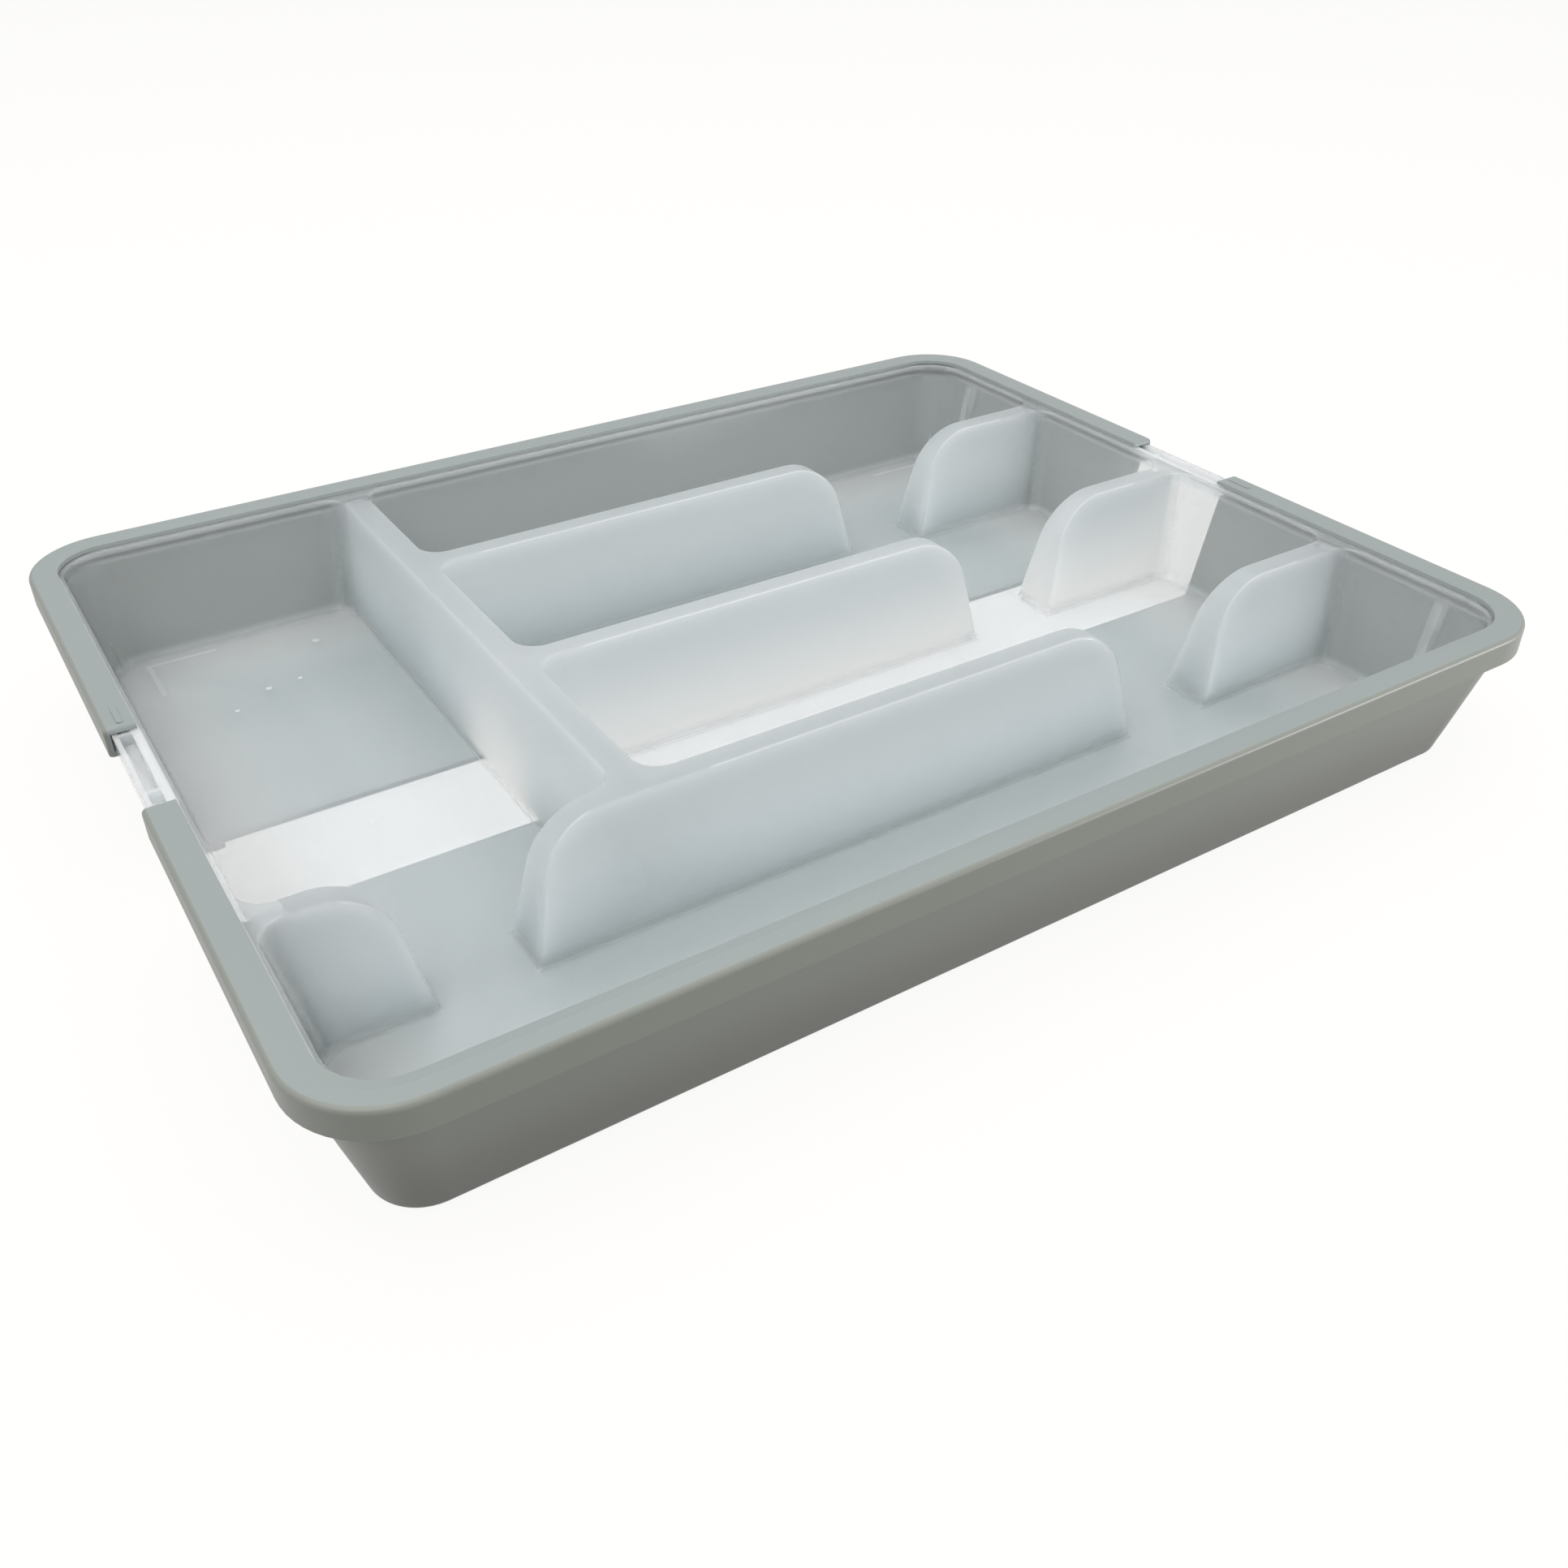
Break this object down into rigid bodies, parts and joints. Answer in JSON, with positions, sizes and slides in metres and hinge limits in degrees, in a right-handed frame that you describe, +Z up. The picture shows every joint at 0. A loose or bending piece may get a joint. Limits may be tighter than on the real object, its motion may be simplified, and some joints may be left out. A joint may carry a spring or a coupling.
{
  "type": "extendable cutlery tray",
  "caption": "Extendable plastic cutlery tray: a frosted divided inner tray held in two light grey half shells that slide apart to widen it.",
  "frame": {"origin": "middle of the closed tray's footprint, on the surface that it stands on", "axes": "+X along the tray's length to the right, +Y away from the user, along which the shells slide, +Z up"},
  "size_m": [0.385, 0.305, 0.0483],
  "materials": {
    "grey_shell": "satin, light grey, opaque",
    "frosted_tray": "frosted, see-through natural plastic with glossy edges"
  },
  "bodies": {
    "tray": {"divided_tray": "frosted_tray"},
    "front": {"front_shell": "grey_shell"},
    "rear": {"rear_shell": "grey_shell"}
  },
  "joints": [
    {"name": "front_slide", "type": "slide", "parent": "tray", "child": "front", "axis": [0, -1, 0], "range_m": [0, 0.098]},
    {"name": "rear_slide", "type": "slide", "parent": "tray", "child": "rear", "axis": [0, 1, 0], "range_m": [0, 0.098]}
  ]
}
